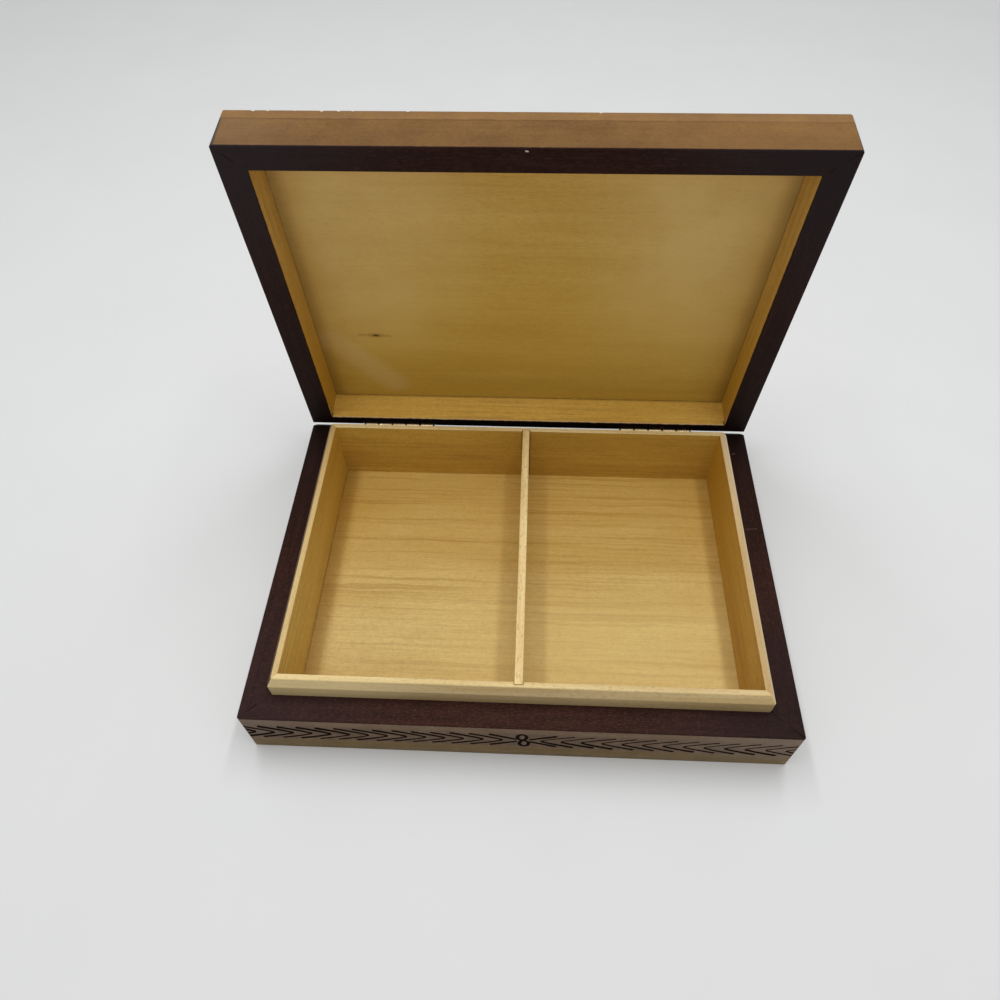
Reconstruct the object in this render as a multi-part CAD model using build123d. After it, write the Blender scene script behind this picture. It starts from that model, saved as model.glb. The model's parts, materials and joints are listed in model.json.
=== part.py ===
from build123d import *
from collections import namedtuple
from math import cos, radians, sin, tan
import os

# Wooden keepsake box with a hinged lid, shown standing open.
# Millimetres. The origin is the middle of the underside of the box, with +X to the right,
# +Y to the back and +Z up. The lid is drawn closed and then turned open about its hinge pins.

# Outside of the box
box_width = 216.0
box_depth = 159.0
base_height = 27.5
lid_height = 20.0
seam_gap = 0.3              # between the two rims when the lid is down
corner_radius = 1.2         # upright outer corners
edge_radius = 0.5           # level outer edges

# Panels that close the bottom and the top
base_panel_thickness = 4.8
lid_panel_thickness = 4.8

# Walls of the base
base_side_wall = 11.2
base_front_wall = 10.3
base_back_wall = 11.1

# Walls of the lid
lid_side_wall = 10.6
lid_front_wall = 9.6
lid_back_wall = 9.2

# Groove along the back, where both halves are bevelled so that the lid can swing up
groove_run = 4.8            # how far each bevel reaches in from the back face
groove_angle = 41.5         # degrees between each bevel and the seam

# Pale liner that stands inside the base and locates the lid
liner_thickness = 4.2
liner_rise = 10.4           # above the rim of the base
liner_bevel_run = 2.0
liner_bevel_drop = 3.7
liner_corner_radius = 0.9

# Divider between the two compartments
divider_thickness = 3.3
divider_place = 0.0         # from the middle of the box
divider_below_liner = 0.2
divider_edge_radius = 0.4
dado_depth = 1.3
dado_clearance = 0.3

# Hinges
hinge_inset = 44.0          # from each end of the box to the middle of its hinge
hinge_length = 35.0
knuckle_count = 5
knuckle_gap = 0.3           # along the pin, between two knuckles
leaf_thickness = 0.6
leaf_width = 5.0            # from the pin's middle to the leaf's edge
leaf_corner_radius = 0.8
leaf_gap = 0.3              # between the two leaves when the lid is up
pin_radius = 0.65
pin_clearance = 0.05
pin_head_radius = 0.95
pin_head_thickness = 0.4
running_clearance = 0.3     # round the knuckles, in wood and in the other leaf

# Nails that hold the hinge leaves
nail_count = 3              # in each leaf
nail_spacing = 12.5
nail_place = 3.3            # from the pin's middle
nail_length = 6.0
nail_radius = 0.55
nail_head_radius = 1.1
nail_tip_length = 1.2
nail_tip_radius = 0.1

# Worked out from the sizes above
bevel = radians(groove_angle)
rim_back = box_depth / 2 - groove_run
groove_drop = groove_run * tan(bevel)
lid_rim_height = base_height + seam_gap
lid_wall_top = lid_rim_height + lid_height - lid_panel_thickness
box_top = lid_rim_height + lid_height
liner_top = base_height + liner_rise
liner_bevel_foot = liner_top - liner_bevel_drop
leaf_inner_face = leaf_gap / 2
leaf_outer_face = leaf_inner_face + leaf_thickness
bore_radius = pin_radius + pin_clearance
knuckle_radius = bore_radius + leaf_thickness
knuckle_pitch = hinge_length / knuckle_count
pin_height = base_height + seam_gap / 2
pin_behind_rim = (leaf_outer_face - seam_gap / 2 * cos(bevel)) / sin(bevel)
pin_back = rim_back + pin_behind_rim
pin_line = Axis((0, pin_back, pin_height), (1, 0, 0))
lid_opening = 2 * groove_angle      # the leaves lie on each other here, and the lid rests

# A plan is a rectangle seen from above, by its four edges
Plan = namedtuple("Plan", "left right front back")
side_ends = {
    "front": (("left", "front"), ("right", "front")),
    "right": (("right", "front"), ("right", "back")),
    "back": (("right", "back"), ("left", "back")),
    "left": (("left", "back"), ("left", "front")),
}


def inset(plan, side, front, back):
    """The plan drawn in by its walls."""
    return Plan(plan.left + side, plan.right - side, plan.front + front, plan.back - back)


def corner(plan, across, along):
    """One corner of a plan, such as its left front."""
    return (getattr(plan, across), getattr(plan, along))


# Plans of the pieces
outside = Plan(-box_width / 2, box_width / 2, -box_depth / 2, box_depth / 2)
base_inside = inset(outside, base_side_wall, base_front_wall, base_back_wall)
lid_inside = inset(outside, lid_side_wall, lid_front_wall, lid_back_wall)
liner_inside = inset(base_inside, liner_thickness, liner_thickness, liner_thickness)
liner_top_plan = inset(base_inside, liner_bevel_run, liner_bevel_run, liner_bevel_run)
hinge_places = {"left": outside.left + hinge_inset, "right": outside.right - hinge_inset}


# Solids that several pieces share
def level_prism(points, bottom, top):
    """A prism that stands on a level outline."""
    outline = make_face(Polyline(*points, close=True))
    return extrude(Plane.XY.offset(bottom) * outline, top - bottom)


def long_prism(points, start, end):
    """A prism along X, from an outline given as pairs of Y and Z."""
    outline = make_face(Polyline(*points, close=True))
    return extrude(Plane.YZ.offset(start) * outline, end - start)


def block(plan, bottom, top):
    """A plain block on a plan."""
    points = [corner(plan, *ends[0]) for ends in side_ends.values()]
    return level_prism(points, bottom, top)


def eased_block(plan, bottom, top):
    """The outer shape of the base or the lid, with its corners and edges rounded."""
    body = block(plan, bottom, top)
    body = fillet(body.edges().filter_by(Axis.Z), corner_radius)
    level_edges = body.edges().filter_by_position(Axis.Z, bottom, bottom)
    level_edges += body.edges().filter_by_position(Axis.Z, top, top)
    return fillet(level_edges, edge_radius)


def mitred_strip(side, outer, inner, bottom, top):
    """One wall between two plans, cut at both ends on the lines through the corners."""
    first, second = side_ends[side]
    points = [
        corner(outer, *first),
        corner(outer, *second),
        corner(inner, *second),
        corner(inner, *first),
    ]
    return level_prism(points, bottom, top)


def rounded_outline(plan, height):
    """A level outline with rounded corners."""
    width = plan.right - plan.left
    depth = plan.back - plan.front
    middle = ((plan.left + plan.right) / 2, (plan.front + plan.back) / 2, height)
    return Plane(origin=middle) * RectangleRounded(width, depth, liner_corner_radius)


def groove_cut(rim, rise):
    """The wedge that bevels a back edge, where rise is -1 for the base and 1 for the lid."""
    beyond = groove_run
    far_back = outside.back + beyond
    slope_end = rim + rise * (groove_drop + beyond * tan(bevel))
    points = [
        (rim_back, rim),
        (far_back, slope_end),
        (far_back, rim - rise * beyond),
        (rim_back, rim - rise * beyond),
    ]
    return long_prism(points, outside.left - beyond, outside.right + beyond)


def knuckle_cut(place):
    """The room round a hinge's knuckles and pin heads, cut from both back edges."""
    length = hinge_length + 2 * (pin_head_thickness + running_clearance)
    middle = Plane(origin=(place, pin_back, pin_height), z_dir=(1, 0, 0))
    return middle * Cylinder(knuckle_radius + running_clearance, length)


def opened(part):
    """A piece of the lid, turned from closed to standing open."""
    return part.rotate(pin_line, -lid_opening)


def save(part, name):
    """Write one piece under its own name."""
    part.label = name
    export_step(part, os.path.join("parts", name + ".step"))


# Hinge, drawn flat: the pin lies along X, the leaf reaches towards +Y and its wood is below
def knuckle_span(number):
    """Where a knuckle starts and ends along the pin, counted from the hinge's middle."""
    start = -hinge_length / 2 + number * knuckle_pitch
    return start + knuckle_gap / 2, start + knuckle_pitch - knuckle_gap / 2


def bar_along_pin(radius, start, end):
    """A round bar on the pin's line."""
    return Plane.YZ.offset(start) * extrude(Circle(radius), end - start)


def nail():
    """A nail that points down, with its flat head level with its frame."""
    head_depth = nail_head_radius - nail_radius
    outline = Polyline(
        (0, 0),
        (nail_head_radius, 0),
        (nail_radius, -head_depth),
        (nail_radius, nail_tip_length - nail_length),
        (nail_tip_radius, -nail_length),
        (0, -nail_length),
        close=True,
    )
    return revolve(Plane.XZ * make_face(outline), Axis.Z)


def leaf_nails():
    """The row of nails through one leaf."""
    first = -(nail_count - 1) / 2
    places = [(first + step) * nail_spacing for step in range(nail_count)]
    return [Pos(place, nail_place, -leaf_inner_face) * nail() for place in places]


def flat_leaf(own_first):
    """A leaf whose knuckles are every second one, starting with the given number."""
    end = hinge_length / 2 - knuckle_gap / 2
    leaf = level_prism(
        [(-end, 0), (end, 0), (end, leaf_width), (-end, leaf_width)],
        -leaf_outer_face,
        -leaf_inner_face,
    )
    outer_corners = leaf.edges().filter_by(Axis.Z).sort_by(Axis.Y)[-2:]
    leaf = fillet(outer_corners, leaf_corner_radius)
    for number in range(own_first, knuckle_count, 2):
        leaf += bar_along_pin(knuckle_radius, *knuckle_span(number))
    reach = knuckle_radius + running_clearance
    for number in range(1 - own_first, knuckle_count, 2):
        start, finish = knuckle_span(number)
        start -= knuckle_gap
        finish += knuckle_gap
        notch = [(start, -reach), (finish, -reach), (finish, reach), (start, reach)]
        leaf -= level_prism(notch, -reach, reach)
    leaf -= bar_along_pin(bore_radius, -hinge_length, hinge_length)
    for one_nail in leaf_nails():
        leaf -= one_nail
    return leaf


def hinge_pin():
    """A pin with a small head at each end, which keeps it in the knuckles."""
    end = hinge_length / 2 - knuckle_gap / 2
    pin = bar_along_pin(pin_radius, -end, end)
    pin += bar_along_pin(pin_head_radius, end, end + pin_head_thickness)
    pin += bar_along_pin(pin_head_radius, -end - pin_head_thickness, -end)
    return pin


def base_leaf_plane(place):
    """The frame of a leaf that lies flat on the bevel of the base."""
    out_of_wood = (0, sin(bevel), cos(bevel))
    return Plane(origin=(place, pin_back, pin_height), x_dir=(1, 0, 0), z_dir=out_of_wood)


def lid_leaf_plane(place):
    """The frame of a leaf that lies flat on the bevel of the lid, with the lid closed."""
    out_of_wood = (0, sin(bevel), -cos(bevel))
    return Plane(origin=(place, pin_back, pin_height), x_dir=(-1, 0, 0), z_dir=out_of_wood)


base_nails = {}
lid_nails = {}
for side, place in hinge_places.items():
    base_nails[side] = [base_leaf_plane(place) * one_nail for one_nail in leaf_nails()]
    lid_nails[side] = [lid_leaf_plane(place) * one_nail for one_nail in leaf_nails()]

os.makedirs("parts", exist_ok=True)

# Base: four mitred walls on a panel
base_shape = eased_block(outside, 0, base_height) - groove_cut(base_height, -1)
save(base_shape & block(outside, 0, base_panel_thickness), "base_panel")
for side in side_ends:
    wall = base_shape & mitred_strip(side, outside, base_inside, base_panel_thickness, base_height)
    if side == "back":
        for hinge_side, place in hinge_places.items():
            wall -= knuckle_cut(place)
            for one_nail in base_nails[hinge_side]:
                wall -= one_nail
    save(wall, "base_" + side + "_wall")

# Liner: four mitred strips on the base panel, with their outer top edge bevelled
liner_shape = block(base_inside, base_panel_thickness, liner_bevel_foot)
liner_shape = fillet(liner_shape.edges().filter_by(Axis.Z), liner_corner_radius)
liner_shape += loft([
    rounded_outline(base_inside, liner_bevel_foot),
    rounded_outline(liner_top_plan, liner_top),
])
dado_half = divider_thickness / 2 + dado_clearance
dado_plan = Plan(
    divider_place - dado_half,
    divider_place + dado_half,
    liner_inside.front - dado_depth,
    liner_inside.back + dado_depth,
)
dado_cut = block(dado_plan, base_panel_thickness, liner_top)
for side in side_ends:
    strip = liner_shape & mitred_strip(side, base_inside, liner_inside, base_panel_thickness, liner_top)
    if side in ("front", "back"):
        strip -= dado_cut
    save(strip, "liner_" + side + "_strip")

# Divider, let into the front and back strips
divider_plan = inset(dado_plan, dado_clearance, dado_clearance, dado_clearance)
divider = block(divider_plan, base_panel_thickness, liner_top - divider_below_liner)
divider_top_edges = divider.faces().sort_by(Axis.Z)[-1].edges().filter_by(Axis.Y)
save(fillet(divider_top_edges, divider_edge_radius), "divider")

# Lid: four mitred walls under a panel
lid_shape = eased_block(outside, lid_rim_height, box_top) - groove_cut(lid_rim_height, 1)
save(opened(lid_shape & block(outside, lid_wall_top, box_top)), "lid_panel")
for side in side_ends:
    wall = lid_shape & mitred_strip(side, outside, lid_inside, lid_rim_height, lid_wall_top)
    if side == "back":
        for hinge_side, place in hinge_places.items():
            wall -= knuckle_cut(place)
            for one_nail in lid_nails[hinge_side]:
                wall -= one_nail
    save(opened(wall), "lid_" + side + "_wall")

# Hinges: two leaves, a pin and two rows of nails on each side
for side, place in hinge_places.items():
    save(base_leaf_plane(place) * flat_leaf(0), side + "_hinge_base_leaf")
    save(opened(lid_leaf_plane(place) * flat_leaf(1)), side + "_hinge_lid_leaf")
    save(base_leaf_plane(place) * hinge_pin(), side + "_hinge_pin")
    save(Compound(base_nails[side]), side + "_hinge_base_nails")
    save(opened(Compound(lid_nails[side])), side + "_hinge_lid_nails")
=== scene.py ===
# %% [markdown]
# # A carved wooden trinket box
#
# The solids of the box are already made and packed. This lesson dresses them: it softens the edges of
# the wood, cuts the burnt ornament, gives every surface its finish, and sets up a plain studio with the
# camera where the photographer stood. The solids stay where they are, and each new piece either stands
# for a solid or sits on one.

# %% Load the solids
import json
from collections import namedtuple
from contextlib import contextmanager
from math import cos, pi, radians, sin, tau

import bmesh
import bpy
import numpy as np
from mathutils import Matrix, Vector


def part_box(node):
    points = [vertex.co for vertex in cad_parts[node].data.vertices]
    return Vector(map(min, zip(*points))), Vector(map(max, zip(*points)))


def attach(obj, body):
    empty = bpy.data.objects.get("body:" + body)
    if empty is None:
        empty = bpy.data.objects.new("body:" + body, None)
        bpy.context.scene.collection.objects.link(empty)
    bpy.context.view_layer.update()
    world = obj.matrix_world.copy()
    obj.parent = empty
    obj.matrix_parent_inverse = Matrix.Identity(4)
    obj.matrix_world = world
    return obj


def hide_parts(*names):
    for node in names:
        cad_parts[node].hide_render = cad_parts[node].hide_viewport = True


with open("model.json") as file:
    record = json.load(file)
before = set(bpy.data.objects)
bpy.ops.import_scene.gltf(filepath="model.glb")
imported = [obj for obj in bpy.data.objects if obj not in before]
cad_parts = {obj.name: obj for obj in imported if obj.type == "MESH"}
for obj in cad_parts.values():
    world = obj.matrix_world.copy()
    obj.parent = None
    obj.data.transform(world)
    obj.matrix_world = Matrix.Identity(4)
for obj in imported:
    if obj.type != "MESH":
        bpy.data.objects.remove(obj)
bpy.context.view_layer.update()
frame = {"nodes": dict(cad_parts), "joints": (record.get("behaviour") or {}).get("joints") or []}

print("solids:", len(frame["nodes"]))

# %% [markdown]
# ## Sizes
#
# Blender works in metres, but a box maker thinks in millimetres, so this lesson plans in millimetres and
# changes to metres only when a mesh is written. Every size is read from the solids, so that the dressing
# follows them if they are made again at another size.

# %% Read the sizes
MM = 0.001


def extent(node):
    """The lowest and the highest corner of a solid, in millimetres."""
    low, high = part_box(node)
    return np.array(low) / MM, np.array(high) / MM


box_low, box_high = extent("base_panel")
half_width = box_high[0]
front_face = box_low[1]
back_face = box_high[1]
floor_height = box_high[2]
rim_height = extent("base_front_wall")[1][2]
liner_front, liner_top = extent("liner_front_strip")[1][1:]
liner_left = extent("liner_left_strip")[1][0]
liner_back = extent("liner_back_strip")[0][1]
box_depth = back_face - front_face
box_middle = (back_face + front_face) / 2
near = 0.01             # measures that differ by less count as one


def vertices_of(mesh):
    """The vertices of a mesh as an array, in millimetres."""
    flat = np.empty(3 * len(mesh.vertices))
    mesh.vertices.foreach_get("co", flat)
    return flat.reshape(-1, 3) / MM


def points_of(node):
    """The vertices of a solid as an array, in millimetres."""
    return vertices_of(frame["nodes"][node].data)


strip_heights = points_of("liner_front_strip")[:, 2]
bevel_foot = strip_heights[strip_heights < liner_top - 1.0].max()       # the next edge under the top one
back_points = points_of("base_back_wall")
rim_back = back_points[back_points[:, 2] > rim_height - near, 1].max()
groove_low = back_points[back_points[:, 1] > back_face - near, 2].max()
groove_steepness = (rim_height - groove_low) / (back_face - rim_back)
print("box", 2 * half_width, "by", box_depth, "rim at", rim_height.round(2))
print("liner top", liner_top.round(2), "its bevel ends at", bevel_foot.round(2))
print("the rim ends at", rim_back.round(2), "and falls by", groove_steepness.round(3))

# %% [markdown]
# The lid stands open, but it is easier to plan its finish with the lid shut, where its rim is level and
# its faces are square to the axes. Turning a point about the hinge pin changes one state into the other:
# x stays, and (y, z) turns round the pin by the opening angle.

# %% Turn points about the pin
hinge = frame["joints"][0]
opening = hinge["range_deg"][1]
pin = np.array(hinge["pos_m"]) / MM


def turned(points, degrees):
    """Points turned about the pin, where a positive angle shuts the lid."""
    turn = radians(degrees)
    y = points[..., 1] - pin[1]
    z = points[..., 2] - pin[2]
    new_y = pin[1] + y * cos(turn) - z * sin(turn)
    new_z = pin[2] + y * sin(turn) + z * cos(turn)
    return np.stack([points[..., 0], new_y, new_z], axis=-1)


shut_panel = turned(points_of("lid_panel"), opening)
lid_top = shut_panel[:, 2].max()
lid_seam = shut_panel[:, 2].min()
shut_front = turned(points_of("lid_front_wall"), opening)
lid_rim = shut_front[:, 2].min()
base_walls = (extent("base_left_wall")[1][0] + half_width, extent("base_front_wall")[1][1] - front_face)
lid_walls = (extent("lid_left_wall")[1][0] + half_width, shut_front[:, 1].max() - front_face)
lid_hollow_back = turned(points_of("lid_back_wall"), opening)[:, 1].min()
print("shut lid: rim", lid_rim.round(2), "seam", lid_seam.round(2), "top", lid_top.round(2))
print("walls of the base", np.round(base_walls, 2), "and of the lid", np.round(lid_walls, 2))

# %% [markdown]
# ## A small language for shaders
#
# A material is a sum of measured things: so far from an edge, so deep in a groove, so dark a grain. Such
# sums read best as sums. The class below wraps one output socket, and its + - * / and abs add Math nodes.
# Everything else, from a noise to a mix of two colours, comes from its one method `node`.

# %% Wires
class Wire:
    """One output of a shader node. Arithmetic on wires adds Math nodes to the same material."""

    def __init__(self, tree, socket=None):
        self.tree = tree
        self.socket = socket

    def node(self, kind, inputs, output=0, **settings):
        """A new node: first its settings, then a value or a wire for each named input."""
        made = self.tree.nodes.new(kind)
        for name, value in settings.items():
            setattr(made, name, value)
        for name, value in inputs.items():
            if isinstance(value, Wire):
                self.tree.links.new(value.socket, made.inputs[name])
            else:
                made.inputs[name].default_value = value
        return Wire(self.tree, made.outputs[output] if made.outputs else None)

    def math(self, operation, *others):
        """The result of one Math node, with this wire first."""
        return self.node("ShaderNodeMath", dict(enumerate((self,) + others)), operation=operation)

    def vector(self, operation, other, output=0):
        """The result of one Vector Math node, with this wire first."""
        return self.node("ShaderNodeVectorMath", {0: self, 1: other}, output, operation=operation)

    def __add__(self, other):
        return self.math("ADD", other)

    def __mul__(self, other):
        return self.math("MULTIPLY", other)

    def __sub__(self, other):
        return self.math("SUBTRACT", other)

    def __truediv__(self, other):
        return self.math("DIVIDE", other)

    def __neg__(self):
        return self.math("MULTIPLY", -1.0)

    def __abs__(self):
        return self.math("ABSOLUTE")

    def __rsub__(self, other):
        return self.node("ShaderNodeMath", {0: other, 1: self}, operation="SUBTRACT")

    __radd__ = __add__
    __rmul__ = __mul__

    def at_least(self, other):
        """The larger of this wire and another."""
        return self.math("MAXIMUM", other)

    def at_most(self, other):
        """The smaller of this wire and another."""
        return self.math("MINIMUM", other)

    def step(self, low, high):
        """0 below low, 1 above high, and an even S-shaped rise between them."""
        ends = {"Value": self, "From Min": low, "From Max": high}
        return self.node("ShaderNodeMapRange", ends, interpolation_type="SMOOTHSTEP")

    def fade(self, low, high):
        """1 below low, 0 above high: the other side of step."""
        return 1.0 - self.step(low, high)


def in_light(shade):
    """A wire as it is, or a colour as a screen shows it, 0 to 255, as the amounts of light in it."""
    if isinstance(shade, Wire):
        return shade
    parts = np.array(shade) / 255
    return (*np.where(parts <= 0.04045, parts / 12.92, ((parts + 0.055) / 1.055) ** 2.4), 1.0)


def blend_colours(first, second, amount):
    """The first colour where amount is 0 and the second where it is 1."""
    inputs = {0: amount, 6: in_light(first), 7: in_light(second)}
    return amount.node("ShaderNodeMix", inputs, output=2, data_type="RGBA")


# %% [markdown]
# ## Where on the box
#
# Each finish asks where it is on the box, in millimetres, with the lid shut. A piece's Object coordinates
# are its place in metres, so one Mapping node is enough. For a piece of the lid it also turns the place
# about the pin. A finish that runs on such coordinates stays on the wood when the lid moves.

# %% Places and distances
Place = namedtuple("Place", "point x y z")


def start_material(name, on_lid=False):
    """An empty material, and the place on the box with the lid shut: turn . point + (pin - turn . pin)."""
    material = bpy.data.materials.new(name)
    material.use_nodes = True
    material.node_tree.nodes.clear()
    start = Wire(material.node_tree)
    angle = radians(opening) if on_lid else 0.0
    turn = np.array(Matrix.Rotation(angle, 3, "X"))
    inputs = {
        "Vector": start.node("ShaderNodeTexCoord", {}, output="Object"),
        "Location": tuple(pin - turn @ pin),
        "Rotation": (angle, 0.0, 0.0),
        "Scale": (1 / MM, 1 / MM, 1 / MM),
    }
    point = start.node("ShaderNodeMapping", inputs)
    split = [start.node("ShaderNodeSeparateXYZ", {"Vector": point}, output=axis) for axis in "XYZ"]
    return material, Place(point, *split)


def side_depth(place):
    """How deep a place lies under the nearest upright outer face."""
    return (half_width - abs(place.x)).at_most(back_face - abs(place.y))


def distance_to_line(place, start, end):
    """How far a place is from the straight line between two points.

    t = (place - start) . way / way . way, kept from 0 to 1, and distance = |place - start - t x way|.
    """
    way = np.subtract(end, start)
    offset = place.point.vector("SUBTRACT", start)
    share = offset.vector("DOT_PRODUCT", tuple(way / (way @ way)), output="Value")
    share = share.at_least(0.0).at_most(1.0)
    way_so_far = share.node("ShaderNodeVectorMath", {0: tuple(way), 1: share}, operation="MULTIPLY")
    return offset.vector("DISTANCE", way_so_far, output="Value")


# %% [markdown]
# ## Grain
#
# Wood fibres run along the board, so a noise that is drawn out along the board and narrow across it reads
# as grain. A real board shows several sizes at once: broad waves of growth, long thin dark lines where
# the growth slowed, and fine short fibres. Each is one noise with its own width and length.

# %% Noise drawn out along the board
def grain(place, along, across, length, detail=2.0, shift=0.0):
    """A noise from 0 to 1 whose marks are so wide across the board and so long along it, in mm."""
    narrow = 1 / across
    scale = [narrow, narrow, narrow]
    scale["XY".index(along)] = 1 / length
    moved = {"Vector": place.point, "Scale": scale, "Location": (shift,) * 3}
    where = place.point.node("ShaderNodeMapping", moved)
    inputs = {"Vector": where, "Scale": 1.0, "Detail": detail, "Roughness": 0.55}
    return where.node("ShaderNodeTexNoise", inputs)


def speckle(place, size, detail=2.0, shift=0.0):
    """A noise from 0 to 1 whose marks are as wide as they are long, in mm."""
    return grain(place, "X", size, size, detail, shift)


def wavering(place, along, sway, length):
    """A place pushed across the board, by up to half of sway each way, so that straight grain wavers."""
    push = (grain(place, along, 7.0, length, shift=23.0) - 0.5) * sway
    across = (0.0, 1.0, 0.0) if along == "X" else (1.0, 0.0, 0.0)
    step = push.node("ShaderNodeVectorMath", {0: across, 1: push}, operation="MULTIPLY")
    return place._replace(point=place.point.vector("ADD", step))


def to_hinges(place, low, high):
    """0 at the front and 1 at the back, rising between two places given as shares of half the depth."""
    return (place.y / back_face).step(low, high)


# %% [markdown]
# ## The finishes of the wood
#
# A finish is a colour, a roughness and a height. The height, in millimetres, goes through a Bump node, so
# that grain catches the light. Where two finishes meet on one board, such as the dark rim and the brown
# side, one mask mixes all three. A stain or a mark changes the colour alone.

# %% A finish, and how finishes mix
Finish = namedtuple("Finish", "colour roughness height")


def blend_finishes(first, second, amount):
    """The first finish where amount is 0 and the second where it is 1."""
    roughness = first.roughness + (second.roughness - first.roughness) * amount
    height = first.height + (second.height - first.height) * amount
    return Finish(blend_colours(first.colour, second.colour, amount), roughness, height)


def tinted(finish, *tints):
    """A finish with its colour drawn towards a few shades in turn, each by an amount from 0 to 1."""
    for shade, amount in tints:
        finish = finish._replace(colour=blend_colours(finish.colour, shade, amount))
    return finish


def close_material(material, finish, shine, metallic=0.0):
    """Lead a finish into a Principled shader, with constants for its shine and its metal."""
    start = finish.colour
    inputs = {
        "Base Color": finish.colour,
        "Roughness": finish.roughness,
        "Specular IOR Level": shine,
        "Metallic": metallic,
    }
    if finish.height is not None:
        relief = {"Height": finish.height, "Distance": MM}
        inputs["Normal"] = start.node("ShaderNodeBump", relief, output="Normal")
    surface = start.node("ShaderNodeBsdfPrincipled", inputs)
    surface.node("ShaderNodeOutputMaterial", {"Surface": surface})
    return material


# %% [markdown]
# A box that has been used has a knot, a scratch or a fleck here and there. Each is a short straight line
# on the wood with a width, a shade and a strength, so one distance is enough to draw it. They are planned
# on the shut box, in millimetres. One broad pale mark on the lid's panel is a painted sheen instead: it
# stands for a reflection in the satin finish.

# %% Marks
Mark = namedtuple("Mark", "start end width shade strength")


def marked(finish, place, marks):
    """A finish with a few marks on it, each strongest on its line and gone at its width."""
    for mark in marks:
        spread = distance_to_line(place, mark.start, mark.end)
        finish = tinted(finish, (mark.shade, spread.fade(0.2 * mark.width, mark.width) * mark.strength))
    return finish


def open_mitre(side, height=2.5):
    """A dark gap in an inner corner at the lid's back, from the rim a little way up the mitre."""
    corner = (side * (half_width - lid_walls[0]), lid_hollow_back)
    return Mark((*corner, lid_rim), (*corner, lid_rim + height), 0.7, (40, 26, 14), 0.85)


marks = {
    "lid_panel": [
        Mark((-78.0, 26.6, lid_seam), (-64.0, 27.1, lid_seam), 1.2, (150, 110, 50), 0.4),
        Mark((-72.0, 26.8, lid_seam), (-68.6, 26.9, lid_seam), 2.6, (156, 114, 50), 0.35),
        Mark((-71.0, 26.9, lid_seam), (-69.6, 26.9, lid_seam), 1.1, (66, 44, 18), 0.9),
        # painted sheen: a broad pale streak that stands for a reflection in the satin finish
        Mark((-92.0, 30.0, lid_seam), (-66.0, 60.0, lid_seam), 10.0, (240, 218, 170), 0.16),
    ],
    "lid_long": [
        Mark((-1.8, -78.3, lid_rim), (-1.2, -78.2, lid_rim), 0.45, (225, 212, 200), 0.8),
        Mark((66.8, 72.8, lid_rim), (67.6, 72.9, lid_rim), 0.9, (120, 50, 35), 0.8),
        open_mitre(-1), open_mitre(1),
    ],
    "lid_short": [open_mitre(-1), open_mitre(1)],
    "base_short": [
        Mark((99.7, 16.8, rim_height), (105.1, 17.2, rim_height), 0.35, (116, 92, 82), 0.32),
        Mark((100.2, 61.8, rim_height), (101.4, 62.0, rim_height), 0.5, (116, 92, 82), 0.4),
    ],
}

# %% [markdown]
# The floor, the inside of the lid and the inner faces of the liner are bare, honey-coloured wood. Its
# waves are pale. Its dark lines, where growth slowed, are long, thin and a little wavy. It has fine short
# flecks, and under them the grey-brown of pores. All of it is a deeper yellow towards the hinges.

# %% Honey wood
Honey = namedtuple("Honey", "light dark line")
floor_honey = Honey((220, 194, 127), (205, 176, 107), (150, 112, 54))
lid_honey = Honey((212, 175, 92), (200, 161, 76), (168, 126, 50))
lid_back_honey = Honey((234, 194, 98), (217, 175, 78), (164, 120, 52))
lid_side_honey = Honey((213, 177, 99), (198, 159, 78), (150, 112, 54))
back_strip_honey = Honey((206, 169, 76), (190, 151, 62), (150, 110, 42))
left_strip_honey = Honey((220, 190, 103), (202, 169, 85), (150, 112, 50))
right_strip_honey = Honey((203, 164, 80), (188, 146, 65), (146, 106, 42))
divider_honey = Honey((215, 177, 78), (198, 158, 64), (152, 112, 44))


def honey_wood(place, along, shades, lining):
    """Bare wood with broad waves, long thin lines as strong as lining, and short fibres."""
    waves = grain(place, along, 14.0, 110.0, detail=3.0)
    wavy = wavering(place, along, 3.0, 22.0)
    lines = grain(wavy, along, 1.5, 150.0, detail=3.0, shift=7.0).step(0.46, 0.66)
    patches = grain(place, along, 20.0, 60.0, shift=3.0).step(0.3, 0.6)
    fibres = grain(place, along, 0.35, 7.0)
    flecks = grain(place, along, 0.4, 2.6, detail=0.0, shift=11.0).step(0.66, 0.76)
    pores = speckle(place, 0.55, shift=13.0)
    mottle = speckle(place, 2.0, shift=31.0)
    shade = blend_colours(shades.light, shades.dark, waves.step(0.3, 0.7))
    for amount in (
        lines * (0.14 + patches * 0.28) * lining,
        fibres.step(0.45, 0.75) * 0.22 + flecks * 0.28,
        pores.step(0.45, 0.7) * 0.2 + mottle.step(0.35, 0.7) * 0.12,
    ):
        shade = blend_colours(shade, shades.line, amount)
    return Finish(shade, 0.55 + fibres * 0.15, fibres * 0.05 + lines * -0.03)


# %% [markdown]
# The liner's edges and the divider's top were planed after the wood was glued, so they show fresh, paler
# wood with straighter grain.

# %% Cream wood
def cream_wood(place, along, light, dark):
    """Freshly planed pale wood with straight faint grain."""
    waves = grain(place, along, 3.0, 60.0, shift=5.0)
    fibres = grain(place, along, 0.5, 12.0, shift=2.0)
    flecks = grain(place, along, 0.5, 1.6, detail=0.0, shift=9.0).step(0.58, 0.72)
    shade = blend_colours(light, dark, waves.step(0.35, 0.7))
    shade = blend_colours(shade, (164, 126, 76), fibres.step(0.5, 0.8) * 0.3 + flecks * 0.32)
    return Finish(shade, 0.5 + fibres * 0.15, fibres * 0.04)


# %% [markdown]
# The outer faces carry a thin brown stain under satin lacquer. Stain sinks in unevenly, so it is cloudy at
# several sizes, and its grain stays faint.

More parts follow.
